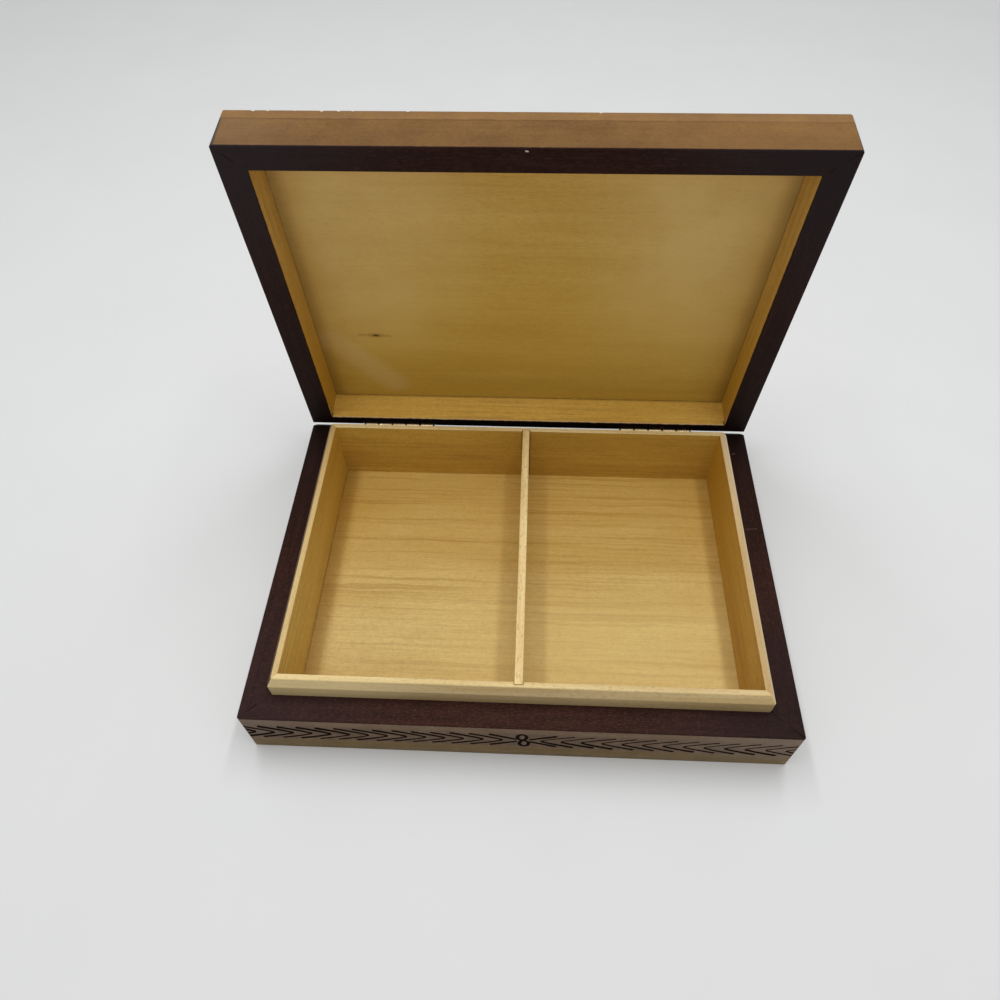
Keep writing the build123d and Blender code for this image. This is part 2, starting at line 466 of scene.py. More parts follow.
# %% Brown stain
def brown_stain(place, along, light, dark):
    """Stained wood: cloudy patches, a fine mottle, faint grain and darker pores."""
    clouds = speckle(place, 9.0, detail=4.0, shift=4.0)
    mottle = speckle(place, 1.3, detail=3.0, shift=21.0)
    bands = grain(place, along, 4.0, 60.0, detail=3.0)
    fibres = grain(place, along, 0.4, 9.0, shift=6.0)
    pores = grain(place, along, 0.4, 1.4, detail=0.0, shift=8.0).step(0.62, 0.74)
    depth = bands.step(0.3, 0.7) * 0.3 + clouds.step(0.35, 0.65) * 0.4 + mottle.step(0.35, 0.65) * 0.3
    shade = blend_colours(light, dark, depth)
    shade = blend_colours(shade, (66, 44, 30), fibres.step(0.5, 0.8) * 0.14 + pores * 0.2)
    return Finish(shade, 0.42 + fibres * 0.16, fibres * 0.04 + pores * -0.03)


# %% [markdown]
# The rims, where lid and base meet, are stained almost black with a red-brown cast, and colder at the
# front corners. At the front, where hands open the box, they are rubbed a little lighter. Towards the back
# they carry painted shade, which turns nearly black by the hinges. The mitres, the slanting joints at the
# corners, took more stain in places and show there as darker lines.

# %% Dark rim
# worn: the colours at the front; deep: the colours at the back, darker with painted shade
Rim = namedtuple("Rim", "worn deep walls cold rubbed")
base_edge = Rim(
    worn=((58, 33, 26), (45, 25, 19)), deep=((39, 20, 15), (30, 15, 11)),
    walls=base_walls, cold=0.4, rubbed=0.26,
)
lid_edge = Rim(
    worn=((43, 22, 17), (35, 17, 13)), deep=((38, 20, 16), (30, 15, 12)),
    walls=lid_walls, cold=0.75, rubbed=0.1,
)


def dark_rim(place, along, rim):
    """Nearly black stained wood, rubbed at the front, with broken dark lines on the mitres."""
    side_wall, front_wall = rim.walls
    clouds = grain(place, along, 2.5, 30.0, detail=4.0, shift=12.0).step(0.3, 0.7)
    fibres = grain(place, along, 0.5, 8.0, shift=14.0)
    rubs = grain(place, along, 0.55, 1.5, shift=17.0).step(0.48, 0.7)
    blotches = speckle(place, 2.4, detail=3.0, shift=33.0).step(0.4, 0.65)
    # painted shade: the rim darkens from the front towards the back, under the open lid
    painted_back_shade = to_hinges(place, -0.9, 0.9)
    from_end = half_width - abs(place.x)
    from_side = back_face - abs(place.y)
    near_corner = (from_end + place.y - front_face).fade(6.0, 85.0)
    off_mitre = (from_end * front_wall - from_side * side_wall) / (front_wall**2 + side_wall**2) ** 0.5
    mitre = abs(off_mitre).fade(0.1, 0.45) * speckle(place, 5.0).step(0.42, 0.6)
    shade = blend_colours(blend_colours(*rim.worn, clouds), blend_colours(*rim.deep, clouds), painted_back_shade)
    for tint, amount in (
        ((22, 12, 10), blotches * 0.28),
        ((102, 72, 62), (fibres.step(0.5, 0.8) * 0.14 + rubs * rim.rubbed) * (1.0 - painted_back_shade * 0.8)),
        ((45, 37, 40), near_corner * rim.cold),
        ((22, 15, 14), near_corner * place.x.step(30.0, 105.0) * 0.45),
        # painted shade: nearly black by the hinges
        ((12, 10, 9), to_hinges(place, 0.55, 1.0) * 0.6),
        ((8, 5, 5), mitre * 0.75),
    ):
        shade = blend_colours(shade, tint, amount)
    return Finish(shade, 0.47 + fibres * 0.15, fibres * 0.03 + mitre * -0.05)


# %% [markdown]
# Now the boards themselves. The stain of the rim was brushed on, so its edge wanders a little, and on the
# lid it ran on to the bare inside and tinted it for another millimetre. At the back the rim turns down
# into the bevel for the hinges, and the dark stain covers the bevel too: there the depth under the rim is
# counted from the bevel's own surface.

# %% Stained edges
base_brown = ((131, 109, 87), (108, 88, 69))
base_low_brown = ((124, 104, 68), (104, 85, 54))
floor_edge_brown = ((118, 96, 54), (96, 75, 34))
lid_brown = ((124, 91, 50), (103, 72, 38))
lid_panel_brown = ((131, 92, 33), (111, 75, 25))
joint_shade = (38, 26, 18)
outer_skin = (1.3, 1.5)     # how deep under the outer faces their finish ends
panel_skin = 0.5            # how deep under a panel's face its finish ends
stain_run = 0.42            # how far the rim's stain runs down a wall
scraped_line = 0.75         # where the lid's back wall is scraped, from its rim


def outside_mask(place):
    """1 on the outer faces of the box and 0 in its inside and on its rims."""
    return side_depth(place).fade(*outer_skin)


def with_rim(finish, place, along, rim, below_rim, outside):
    """A wall's finish with its rim stained dark, down to an edge that wanders."""
    bevel = (place.y - rim_back).at_least(0.0) * groove_steepness
    wander = speckle(place, 2.4, detail=3.0) - 0.5
    below_edge = below_rim - bevel - stain_run - wander * (0.35 + (1.0 - outside) * 0.5)
    finish = tinted(finish, ((112, 64, 34), below_edge.fade(0.0, 0.9) * (1.0 - outside) * 0.45))
    return blend_finishes(finish, dark_rim(place, along, rim), below_edge.fade(-0.06, 0.06))


def joint_line(place, above_joint):
    """A broken dark line along the joint between a wall and its panel, fainter to the right."""
    broken = speckle(place, 6.0, detail=3.0, shift=15.0).step(0.35, 0.55)
    fainter = (place.x / half_width).step(-0.6, 0.9) * 0.65
    return abs(above_joint).fade(0.08, 0.3) * broken * (0.8 - fainter)


# %% [markdown]
# On the base the stain is a cool brown, and yellower near the table, where less of it was brushed on.
# Burning the ornament also smoked the wood between its strokes. The ornament is a band at one height:

# %% Walls of the base
Row = namedtuple("Row", "towards first pitch depths bolder")
Pattern = namedtuple("Pattern", "height fall reach rise past_end rows")
band = Pattern(
    height=15.9,            # of its middle line above the table
    fall=0.9,               # how much lower it is at the corners
    reach=13.5, rise=5.5,   # of a stroke, along the band and up or down
    past_end=4.0,           # how far past a corner the last tips may lie
    rows=(Row(-1, 7.8, 7.52, (0.7, 0.52), 0.25), Row(1, 6.7, 7.89, (0.46, 0.72), -0.15)),
)


def base_wall_material(name, along, marks):
    """The finish of a wall of the base: brown, yellower below 9 mm, with a dark rim."""
    material, place = start_material(name)
    low = place.z.fade(7.2, 9.6)
    shades = [blend_colours(high, below, low) for high, below in zip(base_brown, base_low_brown)]
    smoked = abs(place.z - band.height).fade(5.5, 8.0) * speckle(place, 3.0).step(0.2, 0.6)
    finish = tinted(
        brown_stain(place, along, *shades),
        ((64, 48, 40), smoked * 0.38),
        ((142, 126, 112), place.x.step(40.0, 100.0) * 0.3),
        ((120, 106, 96), place.x.fade(-104.0, -70.0) * 0.3),
        (joint_shade, joint_line(place, place.z - floor_height) * 0.2),
    )
    finish = with_rim(finish, place, along, base_edge, rim_height - place.z, outside_mask(place))
    return close_material(material, marked(finish, place, marks), shine=0.04)


# %% [markdown]
# On the lid the stain is warmer. The two upright front corners are nearly grey. Inside, the wall is bare,
# with painted shade in the corner where it meets the panel and a broken dirty line in the joint itself.
# The side walls are a deeper yellow towards the hinges, and the back wall has a pale scraped line just
# under the rim.

# %% Walls of the lid
def grey_front_corners(place):
    """1 on the upright front corners, in a strip that widens to the rim and is narrow on the right."""
    narrowing = place.x.step(-1.0, 1.0) * 0.8
    widening = (place.z - lid_rim) / (lid_seam - lid_rim) * 0.5
    at_front = (place.y - front_face).fade(1.2, 3.0)
    return (half_width - abs(place.x) + narrowing + widening).fade(1.3, 2.1) * at_front


def lid_wall_material(name, along, marks):
    """The finish of a wall of the lid: brown outside, dark rim, and honey inside."""
    material, place = start_material(name, on_lid=True)
    above_rim, under_panel = place.z - lid_rim, lid_seam - place.z
    outer = tinted(
        brown_stain(place, along, *lid_brown),
        ((146, 118, 90), (place.x + half_width).fade(4.0, 40.0) * 0.2),
        ((164, 122, 66), place.x.step(20.0, 70.0) * 0.16),
        ((84, 54, 26), under_panel.fade(0.3, 1.3) * 0.22),
        ((84, 58, 34), above_rim.fade(1.0, 12.0) * 0.2),
        (joint_shade, joint_line(place, under_panel) * 0.45),
        ((62, 60, 54), grey_front_corners(place) * 0.9),
    )
    inner = honey_wood(place, along, lid_back_honey if along == "X" else lid_side_honey, 0.8)
    if along == "Y":
        inner = tinted(inner, ((188, 142, 20), to_hinges(place, -0.5, 0.9) * 0.6))
    broken = speckle(place, 4.0, detail=3.0, shift=27.0).step(0.3, 0.55)
    scraped = abs(above_rim - scraped_line).fade(0.2, 0.35) * place.y.step(60.0, 62.0)
    inner = tinted(
        inner,
        # painted shade: a soft darker band in the inner corner where the wall meets the panel
        ((110, 78, 34), under_panel.fade(0.2, 1.4) * 0.45),
        ((72, 46, 18), under_panel.fade(0.12, 0.45) * broken * 0.6),
        ((236, 212, 172), scraped * 0.8),
    )
    outside = outside_mask(place)
    finish = blend_finishes(inner, outer, outside)
    finish = with_rim(finish, place, along, lid_edge, above_rim, outside)
    return close_material(material, marked(finish, place, marks), shine=0.07)


# %% [markdown]
# The two panels show their edges outside and a bare face inside. Both faces carry painted shade along the
# side walls, which shade them, and the floor has a broken dirty line in its joint on the left. The floor
# is painted lighter towards its front right, as painted light, and inside the lid two broad pale patches,
# left and right, are a painted sheen, a reflection in the satin finish.

# %% Panels
def base_panel_material(name):
    """The finish of the floor: brown edges and underside, and honey wood with clear lines on top."""
    material, place = start_material(name)
    outer = brown_stain(place, "X", *floor_edge_brown)
    outer = tinted(outer, (joint_shade, joint_line(place, floor_height - place.z) * 0.2))
    lining = to_hinges(place, -0.8, 0.6) * 0.8 + 0.6
    # painted light: the floor is paler towards its front right
    painted_light_patch = place.x.step(-65.0, 5.0) * (1.0 - to_hinges(place, -0.3, 0.15))
    from_left, from_right = place.x - liner_left, -place.x - liner_left
    broken = speckle(place, 5.0, detail=3.0, shift=29.0).step(0.3, 0.55)
    inner = tinted(
        honey_wood(place, "X", floor_honey, lining),
        ((209, 161, 41), to_hinges(place, -0.5, 0.7) * 0.42),
        ((250, 225, 148), painted_light_patch * 0.23),
        # painted shade: darker along the left and right walls of the liner, which shade the floor
        ((150, 104, 10), from_left.fade(0.5, 12.0) * 0.6 + from_right.fade(0.5, 9.0) * 0.2),
        ((70, 46, 20), from_left.fade(0.1, 0.45) * broken * 0.6),
    )
    underside = (floor_height - panel_skin - place.z).step(-0.1, 0.1)
    finish = blend_finishes(inner, outer, outside_mask(place).at_least(underside))
    return close_material(material, finish, shine=0.3)


def lid_panel_material(name, marks):
    """The finish of the lid's panel: brown top and edges, and honey wood with faint lines inside."""
    material, place = start_material(name, on_lid=True)
    # painted shade: a thin darker line along the top edge of the outer faces, where the rounded arris
    # turns from the light
    arris = (place.z - lid_top + 0.4).step(0.0, 0.3) * side_depth(place).fade(0.3, 0.7)
    outer = tinted(
        brown_stain(place, "X", *lid_panel_brown),
        (joint_shade, joint_line(place, place.z - lid_seam) * 0.45),
        ((84, 56, 28), arris * 0.4),
    )
    from_middle = abs(place.x)
    cloud = speckle(place, 30.0, detail=3.0, shift=19.0).step(0.3, 0.7) * 0.5 + 0.5
    # painted sheen: two broad pale patches, left and right, stand for a reflection in the satin finish
    painted_light_patch = from_middle.step(8.0, 62.0) * place.y.fade(5.0, 62.0) * cloud
    # painted shade: darker along the side walls, which shade the panel
    painted_wall_shade = (half_width - lid_walls[0] - from_middle).fade(0.5, 7.5)
    inner = tinted(
        honey_wood(place, "X", lid_honey, 0.4),
        ((224, 195, 128), painted_light_patch * 0.6),
        ((191, 156, 20), to_hinges(place, -0.6, 0.6) * 0.33),
        ((120, 92, 44), painted_wall_shade * 0.4),
    )
    top_face = (place.z - lid_seam - panel_skin).step(-0.1, 0.1)
    outside = outside_mask(place).at_least(top_face)
    return close_material(material, blend_finishes(marked(inner, place, marks), outer, outside), shine=0.3)


# %% [markdown]
# The liner is honey wood on its inner faces and cream on its planed edges. Its bevel and its foot carry
# painted shade at the front and on the left, and the bevel on the right carries painted light. Towards one
# end the long strips and the right strip carry painted light, and the left strip painted shade.

# %% Boards of the liner
Strip = namedtuple("Strip", "light dark bevel handled honey end aged")
long_strip = Strip(
    light=(226, 203, 148), dark=(208, 181, 121), bevel=(142, 116, 84), handled=0.5,
    honey=back_strip_honey, end=(255, 234, 176), aged=0.25,
)
left_strip = Strip(
    light=(210, 181, 123), dark=(193, 161, 99), bevel=(72, 52, 34), handled=0.95,
    honey=left_strip_honey, end=(186, 148, 84), aged=0.5,
)
right_strip = Strip(
    light=(198, 170, 119), dark=(183, 151, 98), bevel=(255, 236, 196), handled=0.42,
    honey=right_strip_honey, end=(255, 236, 196), aged=0.35,
)


def liner_material(name, along, strip):
    """Honey wood inside, cream wood on the top, and painted light and shade on the bevel and foot outside.
    """
    material, place = start_material(name)
    depth_in_strip = (abs(place.x) + liner_left).at_least(liner_front - place.y)
    depth_in_strip = depth_in_strip.at_least(place.y - liner_back)
    below_top = liner_top - place.z
    foot = (bevel_foot - place.z).step(-0.1, 0.2)
    # painted light and shade on the bevel and, a little, on the foot
    handled = below_top.step(0.2, 0.5) * strip.handled + foot * 0.06
    outer = cream_wood(place, along, strip.light, strip.dark)
    inner = honey_wood(place, along, strip.honey, 0.8)
    if along == "X":
        at_front = place.y.fade(-60.0, -50.0)
        outer = tinted(
            outer,
            ((150, 112, 70), at_front * place.x.step(-5.0, 60.0) * 0.22),
            # painted shade on the foot of the long strips, towards the right
            ((78, 60, 42), foot * place.x.step(20.0, 90.0) * 0.25),
        )
        handled = handled * (1.0 - place.x.step(0.0, 90.0) * 0.8)
        near_end = place.x.fade(-70.0, -30.0)
    else:
        inner = tinted(inner, ((188, 140, 0), to_hinges(place, -0.5, 0.8) * 0.52))
        near_end = to_hinges(place, -0.2, 0.9)
    # painted light and shade on the bevel, and towards one end of each strip
    outer = tinted(outer, (strip.bevel, handled), (strip.end, near_end * strip.aged))
    inside = depth_in_strip.fade(0.1, 0.25) * (1.0 - below_top.fade(0.2, 0.35))
    return close_material(material, blend_finishes(outer, inner, inside), shine=0.3)


def divider_material(name):
    """Honey wood on the two faces and cream wood on the top edge."""
    material, place = start_material(name)
    top = (place.z - extent("divider")[1][2]).step(-0.45, -0.3)
    planed = cream_wood(place, "Y", (240, 216, 158), (222, 192, 130))
    finish = blend_finishes(honey_wood(place, "Y", divider_honey, 0.8), planed, top)
    return close_material(material, finish, shine=0.3)


# %% [markdown]
# The ornament is cut with a V tool and burnt. Char is dull and close to black, a little browner where a
# groove runs out and the tool was lifted.

# %% Burnt grooves
def burnt_material(name, on_lid):
    """Char that darkens with depth under the nearest outer face."""
    material, place = start_material(name, on_lid)
    depth = side_depth(place)
    if on_lid:
        depth = depth.at_most(lid_top - place.z)
    soot = speckle(place, 0.8, detail=3.0)
    shade = blend_colours((46, 29, 20), (20, 12, 9), (depth + soot * 0.1).step(0.02, 0.2))
    return close_material(material, Finish(shade, 0.7 + soot * 0.2, soot * 0.06), shine=0.03)


# %% [markdown]
# Hinges, nails and pins are metal that has dulled. Tarnish is a cloudy noise that darkens the colour and
# roughens the surface. The barrel is rubbed bright, and the gaps between its knuckles are dark with
# painted shade; they are even and so can be counted along the barrel.

# %% Metal
hinge_low, hinge_high = extent("right_hinge_base_leaf")
knuckle_count = 5
knuckle = (hinge_high[0] - hinge_low[0]) / knuckle_count
barrel_radius = 1.4


def metal_material(name, bright, dull, roughness):
    """Dulled metal with cloudy tarnish, and dark ends on the knuckles."""
    material, place = start_material(name)
    tarnish = speckle(place, 1.4, detail=4.0).step(0.35, 0.7)
    scuffs = grain(place, "X", 0.15, 4.0, shift=2.0)
    from_gap = (abs(place.x) - hinge_low[0]).math("PINGPONG", knuckle / 2)
    from_pin = distance_to_line(place, (-half_width, *pin[1:]), (half_width, *pin[1:]))
    on_barrel = from_pin.fade(barrel_radius, barrel_radius + 0.3)
    # painted shade in the gaps between the knuckles
    painted_gap_shade = from_gap.fade(0.3, 0.55) * on_barrel
    shade = blend_colours(bright, dull, 0.6 - on_barrel * 0.6 + tarnish * 0.4)
    shade = blend_colours(shade, (24, 17, 12), painted_gap_shade * 0.9)
    finish = Finish(shade, roughness + tarnish * 0.2 + scuffs * 0.08 + painted_gap_shade * 0.3, scuffs * 0.01)
    return close_material(material, finish, shine=0.5, metallic=1.0)


# %% [markdown]
# Each finish is made once. Grain follows the board, so the long and the short walls have one each, and
# boards of one kind share theirs.

# %% Make the materials
paint = {
    "base_long": base_wall_material("base_wall_across", "X", []),
    "base_short": base_wall_material("base_wall_deep", "Y", marks["base_short"]),
    "lid_long": lid_wall_material("lid_wall_across", "X", marks["lid_long"]),
    "lid_short": lid_wall_material("lid_wall_deep", "Y", marks["lid_short"]),
    "base_panel": base_panel_material("floor_wood"),
    "lid_panel": lid_panel_material("lid_panel_wood", marks["lid_panel"]),
    "liner_long": liner_material("liner_across", "X", long_strip),
    "liner_left": liner_material("liner_left", "Y", left_strip),
    "liner_right": liner_material("liner_right", "Y", right_strip),
    "divider": divider_material("divider_wood"),
    "base_burnt": burnt_material("burnt_groove_base", on_lid=False),
    "lid_burnt": burnt_material("burnt_groove_lid", on_lid=True),
    "brass": metal_material("dull_brass", (226, 206, 166), (170, 140, 92), 0.34),
    "nails": metal_material("nail_brass", (178, 148, 98), (122, 94, 56), 0.38),
    "steel": metal_material("dull_steel", (186, 182, 174), (128, 120, 110), 0.3),
}
print("materials:", len(paint))

# %% [markdown]
# ## Boards with softened edges
#
# The solids have rounded outer edges, but the edge where a rim meets the inside is perfectly sharp, and
# real wood never is. So each visible board is a copy of its solid with a small bevel on its free edges.
# Edges of a glued joint stay sharp, because there the next board carries on. The copy's loose triangles
# are first merged into whole faces.

# %% Which edges are free
hair = 0.001            # points closer than this are one point
flat_fold = 0.3         # degrees: faces that fold by less are one face
sharp_fold = 20.0       # an edge that folds by more is softened
smooth_fold = 30.0      # an edge that folds by less is shaded round
smallest_mitre = 15.0   # square millimetres


def read(items, name, width=1):
    """One property of every item of a mesh, as an array."""
    kind = int if name in ("loop_total", "edge_index") else float
    flat = np.empty(len(items) * width, dtype=kind)
    items.foreach_get(name, flat)
    return flat.reshape(-1, width) if width > 1 else flat


def free_edges(mesh, on_lid):
    """1 for each edge where two faces fold sharply and neither is glued, else 0.

    Each edge belongs to two faces. Sorting the face corners by edge puts the two faces side by side.
    A glued face is a mitre, large and upright and slanting in plan, or lies level in a panel's seam.
    """
    opened = opening if on_lid else 0.0
    centres = turned(read(mesh.polygons, "center", 3) / MM, opened)
    normals = turned(read(mesh.polygons, "normal", 3) + pin, opened) - pin
    areas = read(mesh.polygons, "area") / MM**2
    sizes = read(mesh.polygons, "loop_total")
    face_of_corner = np.repeat(np.arange(len(sizes)), sizes)
    order = np.argsort(read(mesh.loops, "edge_index"), kind="stable")
    pairs = face_of_corner[order].reshape(-1, 2)
    slanting = (np.abs(normals[:, :2]) > 0.3).all(axis=1) & (np.abs(normals[:, 2]) < 0.05)
    seam = lid_seam if on_lid else floor_height
    level_seam = np.abs(centres[:, 2] - seam) < near
    glued = (slanting & (areas > smallest_mitre)) | level_seam
    folded = (normals[pairs[:, 0]] * normals[pairs[:, 1]]).sum(axis=1) < cos(radians(sharp_fold))
    return (folded & ~glued[pairs].any(axis=1)).astype(float)


# %% [markdown]
# A modifier is a promise that Blender keeps at render time. Here each one is worked out at once, because
# the carving that comes next has to cut the softened board.

# %% Copy a solid and soften it
@contextmanager
def editing(mesh):
    """Lend a mesh to bmesh, which can merge, cut and dissolve, and write the result back."""
    shape = bmesh.new()
    shape.from_mesh(mesh)
    yield shape
    shape.to_mesh(mesh)
    shape.free()


def settle(piece):
    """Replace a piece's mesh by what its modifiers make of it, and drop the modifiers."""
    graph = bpy.context.evaluated_depsgraph_get()
    mesh = bpy.data.meshes.new_from_object(piece.evaluated_get(graph), depsgraph=graph)
    piece.modifiers.clear()
    piece.data = mesh
    mesh.name = piece.name


def put(name, data):
    """A new object in the scene for a mesh, a lamp or a camera."""
    thing = bpy.data.objects.new(name, data)
    bpy.context.scene.collection.objects.link(thing)
    return thing


def paint_mesh(mesh, material):
    """Give a whole mesh one finish."""
    mesh.materials.clear()
    mesh.materials.append(material)


def board(node, material, body, softening=0.25):
    """A copy of a solid with its free edges softened, which stands for the solid."""
    name = node + "_wood"
    shape = bmesh.new()
    shape.from_mesh(frame["nodes"][node].data)
    bmesh.ops.remove_doubles(shape, verts=shape.verts, dist=hair * MM)
    bmesh.ops.dissolve_limit(shape, angle_limit=radians(flat_fold), verts=shape.verts, edges=shape.edges)
    mesh = bpy.data.meshes.new(name)
    shape.to_mesh(mesh)
    shape.free()
    paint_mesh(mesh, material)
    weights = mesh.attributes.new("bevel_weight_edge", "FLOAT", "EDGE")
    weights.data.foreach_set("value", free_edges(mesh, body == "lid"))
    piece = put(name, mesh)
    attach(piece, body)
    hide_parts(node)
    bevel = piece.modifiers.new("soft_edges", "BEVEL")
    bevel.limit_method = "WEIGHT"
    bevel.width = softening * MM
    bevel.segments = 2
    bevel.use_clamp_overlap = False
    settle(piece)
    return piece


def finish_board(piece):
    """Drop faces without area, and shade round over the slight folds."""
    mesh = piece.data
    with editing(mesh) as shape:
        bmesh.ops.dissolve_degenerate(shape, dist=hair * MM, edges=shape.edges)
    mesh.polygons.foreach_set("use_smooth", np.ones(len(mesh.polygons), dtype=bool))
    mesh.set_sharp_from_angle(angle=radians(smooth_fold))
    piece.modifiers.new("even_shading", "WEIGHTED_NORMAL").keep_sharp = True
    settle(piece)


# %% [markdown]
# The walls of base and lid, the strips of the liner and the lid's panel are dressed this way. Each copy
# rides the body that its solid belongs to, so the lid's boards swing with the lid.

# %% Boards
boards = {}
for side, length in (("front", "long"), ("back", "long"), ("left", "short"), ("right", "short")):
    base_wall, lid_wall, strip = f"base_{side}_wall", f"lid_{side}_wall", f"liner_{side}_strip"
    strip_paint = paint["liner_long" if length == "long" else "liner_" + side]
    boards[base_wall] = board(base_wall, paint["base_" + length], "base")
    boards[lid_wall] = board(lid_wall, paint["lid_" + length], "lid")
    boards[strip] = board(strip, strip_paint, "base")
boards["lid_panel"] = board("lid_panel", paint["lid_panel"], "lid")
print("boards:", len(boards), "faces:", sum(len(piece.data.polygons) for piece in boards.values()))

# %% [markdown]
# ## Cutting the ornament
#
# A V tool leaves a groove whose two walls always lean the same way, so a deeper cut is also a wider one.
# The cutter below is that groove as a closed body: a triangle carried along a path. Its lower corner runs
# at the cut's depth, and its upper corners stand a little proud of the wood, so far apart that the walls
# keep their slope. Where the depth turns negative the cutter rises out of the wood and ends in a point.

# %% One groove
groove_slope = 1.25     # half the groove's width for each millimetre of depth
proud = 0.3             # how far a cutter stands out of the wood
lifted = -0.2           # the depth at which a cutter has left the wood
random = np.random.default_rng(7)

Cutter = namedtuple("Cutter", "points quads ends")
Face = namedtuple("Face", "origin across up outwards")


def groove(path, depth, closed=False):
    """A cutter along a path of N points on a flat face, given as N pairs across and up the face.

    At each point, half width = slope x (depth + proud), set off square to the path. The three corners
    of the triangle are left and right at the height proud, and the middle at minus the depth.
    """
    path = np.asarray(path, dtype=float)
    depth = np.broadcast_to(depth, len(path))
    if closed:
        ahead = np.roll(path, -1, axis=0) - np.roll(path, 1, axis=0)
    else:
        ahead = np.gradient(path, axis=0)
    ahead /= np.linalg.norm(ahead, axis=1, keepdims=True)
    square = np.stack([-ahead[:, 1], ahead[:, 0]], axis=1)
    half = groove_slope * (depth + proud)[:, None]
    level = np.full((len(path), 1), proud)
    left = np.hstack([path + square * half, level])
    right = np.hstack([path - square * half, level])
    bottom = np.hstack([path, -depth[:, None]])
    points = np.stack([left, right, bottom], axis=1).reshape(-1, 3)
    ring = np.arange(len(path) if closed else len(path) - 1)[:, None]
    corner = np.arange(3)[None, :]
    after = (ring + 1) % len(path)
    turn = (corner + 1) % 3
    quads = np.stack([3 * ring + corner, 3 * after + corner, 3 * after + turn, 3 * ring + turn], axis=-1)
    last = 3 * (len(path) - 1)
    ends = np.array([[0, 1, 2], [last + 2, last + 1, last]])
    return Cutter(points, quads.reshape(-1, 4), ends[:0] if closed else ends)


def placed(cutter, face):
    """A cutter moved from its flat face to that face on the box."""
    axes = np.array([face.across, face.up, face.outwards], dtype=float)
    return cutter._replace(points=np.asarray(face.origin, dtype=float) + cutter.points @ axes)


# %% [markdown]
# A carver's stroke is seldom even. Each stroke here starts shallow at the point of its chevron and gets
# deeper towards its outer end, where the tool was pressed in and lifted out. Small random changes of
# length and depth keep the strokes from looking stamped.

# %% Strokes and chevrons
def stroke(start, end, depth, curve=1.0, deepening=0.22):
    """One cut between two points, which is steep at first where curve is under 1.

    across(t) = start + t x way across, up(t) = start + t^curve x way up, and
    depth(t) = depth x (1 - deepening x (1 - t)), but out of the wood at both ends.
    """
    t = np.concatenate([[0.0, 0.03], np.linspace(0.1, 0.96, 8), [1.0]])
    start = np.asarray(start, dtype=float)
    way = np.asarray(end, dtype=float) - start
    path = start + np.stack([t * way[0], t**curve * way[1]], axis=1)
    body = depth * (1 - deepening * (1 - t))
    body[0] = body[-1] = lifted
    return groove(path, body)


def chevron(tip, towards, reach, rise, depths):
    """Two strokes that leave one tip: towards is 1 or -1 along the band, rise is up and down from it."""
    strokes = []
    for sense, depth in zip((1, -1), depths):
        wander = random.normal(0, 0.2, 4)
        start = (tip[0] + 0.3 * wander[0], tip[1] - sense * 0.1)
        end = (tip[0] + towards * (reach + wander[1]), tip[1] + sense * (rise + 0.7 * wander[2]))
        strokes.append(stroke(start, end, depth * (1 + 0.5 * wander[3]), curve=0.78))
    return strokes


def chevron_rows(pattern, length, middle):
    """The upper and the lower strokes of a pattern's chevrons, on a face as long as the given length.

    share = tip / half length, height = height - fall x share, depth = depth x (1 + bolder x share).
    """
    uppers, lowers = [], []
    for row in pattern.rows:
        for tip in np.arange(row.first, length / 2 + pattern.past_end, row.pitch):
            share = tip / (length / 2)
            tip_place = (middle + row.towards * tip, pattern.height - pattern.fall * share)
            depths = [depth * (1 + row.bolder * share) for depth in row.depths]
            upper, lower = chevron(tip_place, row.towards, pattern.reach, pattern.rise, depths)
            uppers.append(upper)
            lowers.append(lower)
    return uppers, lowers


def ring(middle, radii, depth, count=28):
    """A closed groove round an ellipse: middle + (cos a, sin a) x radii."""
    turn = np.arange(count) * tau / count
    path = np.asarray(middle) + np.stack([np.cos(turn), np.sin(turn)], axis=1) * radii
    return groove(path, depth, closed=True)


# %% [markdown]
# The band on the front runs out from a motif of two small linked rings. On each side, a row of chevrons
# points at the motif, and the last ones run off at the corners. The two chevrons next to the rings are
# longer and touch them. The carver set the left row a little closer than the right one, and cut it bolder.

# %% The band
motif_middle = 2.2
inner_reach = 13.4          # of the two strokes that touch the motif, from its middle
ring_radii = (1.8, 2.75)
ring_depth = 0.6


def band_layers(length, middle):
    """All grooves of a band, with its motif at middle."""
    inner = []
    for row in band.rows:
        for sense in (1, -1):
            start = (middle + row.towards * 2.2, band.height + sense * 0.9)
            end = (middle + row.towards * inner_reach, band.height + sense * band.rise)
            inner.append(stroke(start, end, max(row.depths), deepening=0.15))
    upper_ring = ring((middle - 0.4, band.height + 3.2), ring_radii, ring_depth)
    lower_ring = ring((middle + 0.4, band.height - 2.9), ring_radii, ring_depth)
    chevrons = chevron_rows(band, length, middle)
    layers = [strokes[first::2] for strokes in chevrons for first in (0, 1)]
    return layers + [inner, [upper_ring], [lower_ring]]


# %% [markdown]
# Cutting is a Boolean: the board minus the cutter. Strokes that cross each other must not be in one
# cutter, so a design is a list of layers, and each layer holds strokes that keep clear of one another.
# The walls of the cut take the cutter's burnt material.

# %% Cut a board
def divide(piece, axis, spacing):
    """Cut the faces of a piece at even distances along an axis, without changing its shape."""
    axis = np.asarray(axis, dtype=float)
    places = vertices_of(piece.data) @ axis
    with editing(piece.data) as shape:
        for at in np.arange(places.min() + spacing / 2, places.max(), spacing):
            everything = shape.verts[:] + shape.edges[:] + shape.faces[:]
            bmesh.ops.bisect_plane(shape, geom=everything, plane_co=axis * at * MM, plane_no=axis)


